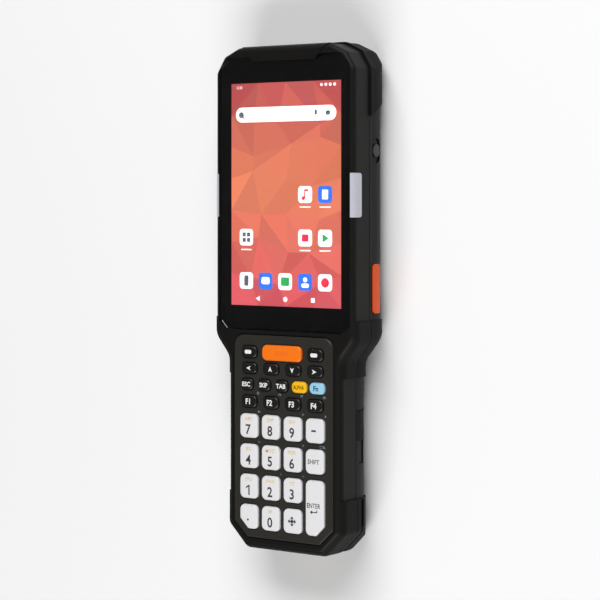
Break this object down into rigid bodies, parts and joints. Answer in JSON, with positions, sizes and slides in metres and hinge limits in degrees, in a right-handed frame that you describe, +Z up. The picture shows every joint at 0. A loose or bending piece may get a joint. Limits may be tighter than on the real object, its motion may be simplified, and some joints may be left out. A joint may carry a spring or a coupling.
{
  "type": "portable barcode data terminal",
  "caption": "Handheld barcode data terminal with a large touch screen over a numeric keypad, rubber bumpers, side scan buttons, hinged battery door and port cover",
  "frame": {"origin": "under the middle of the whole terminal, on the surface it lies on", "axes": "X across the body, Y along it towards the scanning end, Z up out of the screen"},
  "size_m": [0.0734, 0.2124, 0.0281],
  "materials": {
    "housing_plastic": "fine moulded texture",
    "bumper_rubber": "matt",
    "keypad_plate": "satin",
    "silicone_mat": "matt",
    "key_light": "satin",
    "key_dark": "satin",
    "key_orange": "satin",
    "key_blue": "satin",
    "key_yellow": "satin",
    "button_orange": "satin",
    "power_button": "satin",
    "light_guide": "satin translucent",
    "touch_glass": "polished",
    "display_screen": "gloss",
    "scan_window": "gloss dark red",
    "battery_sleeve": "gloss sleeve",
    "lock_plastic": "satin",
    "inner_plastic": "matt",
    "circuit_board": "solder mask",
    "connector_steel": "plated",
    "camera_black": "gloss",
    "contact_gold": "gold plated",
    "screw_steel": "black zinc"
  },
  "bodies": {
    "root": {"battery_pack": "battery_sleeve", "brow_bar": "housing_plastic", "charging_contacts": "contact_gold", "display_module": "display_screen", "front_housing": "housing_plastic", "housing_screws": "screw_steel", "keypad_board": "circuit_board", "keypad_mat": "silicone_mat", "keypad_plate": "keypad_plate", "light_guide_left": "light_guide", "light_guide_right": "light_guide", "main_board": "circuit_board", "neck_bumper_left": "bumper_rubber", "neck_bumper_right": "bumper_rubber", "port_connector": "connector_steel", "rear_camera": "camera_black", "rear_housing": "housing_plastic", "scan_engine": "inner_plastic", "scan_window": "scan_window", "speaker": "inner_plastic", "tail_bumper": "bumper_rubber", "top_bumper": "bumper_rubber", "touch_glass": "touch_glass"},
    "scan_button_right_body": {"scan_button_right": "button_orange"},
    "scan_button_left_body": {"scan_button_left": "button_orange"},
    "power_button_body": {"power_button": "power_button"},
    "port_cover_body": {"port_cover": "bumper_rubber"},
    "battery_door_body": {"battery_door": "housing_plastic"},
    "door_lock_body": {"door_lock": "lock_plastic"},
    "key_0_body": {"key_0": "key_light"},
    "key_1_body": {"key_1": "key_light"},
    "key_2_body": {"key_2": "key_light"},
    "key_3_body": {"key_3": "key_light"},
    "key_4_body": {"key_4": "key_light"},
    "key_5_body": {"key_5": "key_light"},
    "key_6_body": {"key_6": "key_light"},
    "key_7_body": {"key_7": "key_light"},
    "key_8_body": {"key_8": "key_light"},
    "key_9_body": {"key_9": "key_light"},
    "key_alpha_body": {"key_alpha": "key_yellow"},
    "key_arrow_down_body": {"key_arrow_down": "key_dark"},
    "key_arrow_left_body": {"key_arrow_left": "key_dark"},
    "key_arrow_right_body": {"key_arrow_right": "key_dark"},
    "key_arrow_up_body": {"key_arrow_up": "key_dark"},
    "key_cross_body": {"key_cross": "key_light"},
    "key_dot_body": {"key_dot": "key_light"},
    "key_enter_body": {"key_enter": "key_light"},
    "key_esc_body": {"key_esc": "key_dark"},
    "key_f1_body": {"key_f1": "key_dark"},
    "key_f2_body": {"key_f2": "key_dark"},
    "key_f3_body": {"key_f3": "key_dark"},
    "key_f4_body": {"key_f4": "key_dark"},
    "key_fn_body": {"key_fn": "key_blue"},
    "key_minus_body": {"key_minus": "key_light"},
    "key_scan_body": {"key_scan": "key_orange"},
    "key_shift_body": {"key_shift": "key_yellow"},
    "key_skip_body": {"key_skip": "key_dark"},
    "key_soft_left_body": {"key_soft_left": "key_dark"},
    "key_soft_right_body": {"key_soft_right": "key_dark"},
    "key_tab_body": {"key_tab": "key_dark"}
  },
  "joints": [
    {"name": "scan_button_right_press", "type": "slide", "parent": "root", "child": "scan_button_right_body", "axis": [-1, 0, 0], "range_m": [0, 0.001], "stiffness_N_per_m": 800},
    {"name": "scan_button_left_press", "type": "slide", "parent": "root", "child": "scan_button_left_body", "axis": [1, 0, 0], "range_m": [0, 0.001], "stiffness_N_per_m": 800},
    {"name": "power_button_press", "type": "slide", "parent": "root", "child": "power_button_body", "axis": [-1, 0, 0], "range_m": [0, 0.0006], "stiffness_N_per_m": 800},
    {"name": "port_cover_hinge", "type": "hinge", "parent": "root", "child": "port_cover_body", "pos_m": [0.0285, -0.0467, 0.0114], "axis": [0, 0, 1], "range_deg": [0, 110]},
    {"name": "battery_door_hinge", "type": "hinge", "parent": "root", "child": "battery_door_body", "pos_m": [0, -0.091, 0.0019], "axis": [-1, 0, 0], "range_deg": [0, 95]},
    {"name": "door_lock_slide", "type": "slide", "parent": "root", "child": "door_lock_body", "axis": [0, -1, 0], "range_m": [0, 0.002]},
    {"name": "key_0_press", "type": "slide", "parent": "root", "child": "key_0_body", "axis": [0, 0, -1], "range_m": [0, 0.0008], "stiffness_N_per_m": 600},
    {"name": "key_1_press", "type": "slide", "parent": "root", "child": "key_1_body", "axis": [0, 0, -1], "range_m": [0, 0.0008], "stiffness_N_per_m": 600},
    {"name": "key_2_press", "type": "slide", "parent": "root", "child": "key_2_body", "axis": [0, 0, -1], "range_m": [0, 0.0008], "stiffness_N_per_m": 600},
    {"name": "key_3_press", "type": "slide", "parent": "root", "child": "key_3_body", "axis": [0, 0, -1], "range_m": [0, 0.0008], "stiffness_N_per_m": 600},
    {"name": "key_4_press", "type": "slide", "parent": "root", "child": "key_4_body", "axis": [0, 0, -1], "range_m": [0, 0.0008], "stiffness_N_per_m": 600},
    {"name": "key_5_press", "type": "slide", "parent": "root", "child": "key_5_body", "axis": [0, 0, -1], "range_m": [0, 0.0008], "stiffness_N_per_m": 600},
    {"name": "key_6_press", "type": "slide", "parent": "root", "child": "key_6_body", "axis": [0, 0, -1], "range_m": [0, 0.0008], "stiffness_N_per_m": 600},
    {"name": "key_7_press", "type": "slide", "parent": "root", "child": "key_7_body", "axis": [0, 0, -1], "range_m": [0, 0.0008], "stiffness_N_per_m": 600},
    {"name": "key_8_press", "type": "slide", "parent": "root", "child": "key_8_body", "axis": [0, 0, -1], "range_m": [0, 0.0008], "stiffness_N_per_m": 600},
    {"name": "key_9_press", "type": "slide", "parent": "root", "child": "key_9_body", "axis": [0, 0, -1], "range_m": [0, 0.0008], "stiffness_N_per_m": 600},
    {"name": "key_alpha_press", "type": "slide", "parent": "root", "child": "key_alpha_body", "axis": [0, 0, -1], "range_m": [0, 0.0008], "stiffness_N_per_m": 600},
    {"name": "key_arrow_down_press", "type": "slide", "parent": "root", "child": "key_arrow_down_body", "axis": [0, 0, -1], "range_m": [0, 0.0008], "stiffness_N_per_m": 600},
    {"name": "key_arrow_left_press", "type": "slide", "parent": "root", "child": "key_arrow_left_body", "axis": [0, 0, -1], "range_m": [0, 0.0008], "stiffness_N_per_m": 600},
    {"name": "key_arrow_right_press", "type": "slide", "parent": "root", "child": "key_arrow_right_body", "axis": [0, 0, -1], "range_m": [0, 0.0008], "stiffness_N_per_m": 600},
    {"name": "key_arrow_up_press", "type": "slide", "parent": "root", "child": "key_arrow_up_body", "axis": [0, 0, -1], "range_m": [0, 0.0008], "stiffness_N_per_m": 600},
    {"name": "key_cross_press", "type": "slide", "parent": "root", "child": "key_cross_body", "axis": [0, 0, -1], "range_m": [0, 0.0008], "stiffness_N_per_m": 600},
    {"name": "key_dot_press", "type": "slide", "parent": "root", "child": "key_dot_body", "axis": [0, 0, -1], "range_m": [0, 0.0008], "stiffness_N_per_m": 600},
    {"name": "key_enter_press", "type": "slide", "parent": "root", "child": "key_enter_body", "axis": [0, 0, -1], "range_m": [0, 0.0008], "stiffness_N_per_m": 600},
    {"name": "key_esc_press", "type": "slide", "parent": "root", "child": "key_esc_body", "axis": [0, 0, -1], "range_m": [0, 0.0008], "stiffness_N_per_m": 600},
    {"name": "key_f1_press", "type": "slide", "parent": "root", "child": "key_f1_body", "axis": [0, 0, -1], "range_m": [0, 0.0008], "stiffness_N_per_m": 600},
    {"name": "key_f2_press", "type": "slide", "parent": "root", "child": "key_f2_body", "axis": [0, 0, -1], "range_m": [0, 0.0008], "stiffness_N_per_m": 600},
    {"name": "key_f3_press", "type": "slide", "parent": "root", "child": "key_f3_body", "axis": [0, 0, -1], "range_m": [0, 0.0008], "stiffness_N_per_m": 600},
    {"name": "key_f4_press", "type": "slide", "parent": "root", "child": "key_f4_body", "axis": [0, 0, -1], "range_m": [0, 0.0008], "stiffness_N_per_m": 600},
    {"name": "key_fn_press", "type": "slide", "parent": "root", "child": "key_fn_body", "axis": [0, 0, -1], "range_m": [0, 0.0008], "stiffness_N_per_m": 600},
    {"name": "key_minus_press", "type": "slide", "parent": "root", "child": "key_minus_body", "axis": [0, 0, -1], "range_m": [0, 0.0008], "stiffness_N_per_m": 600},
    {"name": "key_scan_press", "type": "slide", "parent": "root", "child": "key_scan_body", "axis": [0, 0, -1], "range_m": [0, 0.0008], "stiffness_N_per_m": 600},
    {"name": "key_shift_press", "type": "slide", "parent": "root", "child": "key_shift_body", "axis": [0, 0, -1], "range_m": [0, 0.0008], "stiffness_N_per_m": 600},
    {"name": "key_skip_press", "type": "slide", "parent": "root", "child": "key_skip_body", "axis": [0, 0, -1], "range_m": [0, 0.0008], "stiffness_N_per_m": 600},
    {"name": "key_soft_left_press", "type": "slide", "parent": "root", "child": "key_soft_left_body", "axis": [0, 0, -1], "range_m": [0, 0.0008], "stiffness_N_per_m": 600},
    {"name": "key_soft_right_press", "type": "slide", "parent": "root", "child": "key_soft_right_body", "axis": [0, 0, -1], "range_m": [0, 0.0008], "stiffness_N_per_m": 600},
    {"name": "key_tab_press", "type": "slide", "parent": "root", "child": "key_tab_body", "axis": [0, 0, -1], "range_m": [0, 0.0008], "stiffness_N_per_m": 600}
  ]
}
